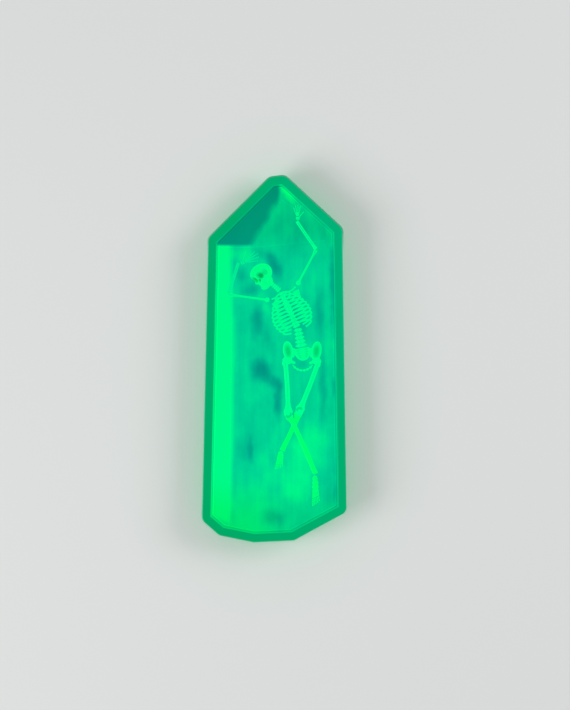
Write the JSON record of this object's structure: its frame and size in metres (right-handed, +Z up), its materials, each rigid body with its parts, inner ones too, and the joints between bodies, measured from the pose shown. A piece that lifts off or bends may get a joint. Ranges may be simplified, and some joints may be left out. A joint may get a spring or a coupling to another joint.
{
  "type": "glass dish",
  "caption": "Shallow crystal-shaped dish in glowing green glass, with faceted floor panes, a flat rim and a reclining skeleton laid on the floor.",
  "frame": {"origin": "centre of the bounding box across and along the dish, at the surface that the foot ring stands on", "axes": "+Y along the dish towards the crystal's tip, +X across it to the right when the tip points away, +Z up out of the well"},
  "size_m": [0.0732, 0.1842, 0.017],
  "materials": {
    "dish_glass": "polished, fluorescent green",
    "pane_glass": "polished, fluorescent green with cloudy streaks",
    "bone_glass": "satin, bright fluorescent green",
    "band_metal": "brushed, pale silver"
  },
  "bodies": {
    "root": {"cervical_spine": "bone_glass", "dish_body": "dish_glass", "edge_band": "band_metal", "face_pane_front": "pane_glass", "face_pane_left": "pane_glass", "face_pane_right": "pane_glass", "jaw": "bone_glass", "left_clavicle": "bone_glass", "left_femur": "bone_glass", "left_fibula": "bone_glass", "left_foot": "bone_glass", "left_hand": "bone_glass", "left_hip_bone": "bone_glass", "left_humerus": "bone_glass", "left_patella": "bone_glass", "left_radius": "bone_glass", "left_ribs": "bone_glass", "left_scapula": "bone_glass", "left_tibia": "bone_glass", "left_ulna": "bone_glass", "lumbar_spine": "bone_glass", "pubic_arch": "bone_glass", "right_clavicle": "bone_glass", "right_femur": "bone_glass", "right_fibula": "bone_glass", "right_foot": "bone_glass", "right_hand": "bone_glass", "right_hip_bone": "bone_glass", "right_humerus": "bone_glass", "right_patella": "bone_glass", "right_radius": "bone_glass", "right_ribs": "bone_glass", "right_scapula": "bone_glass", "right_tibia": "bone_glass", "right_ulna": "bone_glass", "sacrum": "bone_glass", "skull": "bone_glass", "sternum": "bone_glass", "thoracic_spine": "bone_glass", "tip_pane_front": "pane_glass", "tip_pane_left": "pane_glass", "tip_pane_right": "pane_glass"}
  },
  "joints": []
}
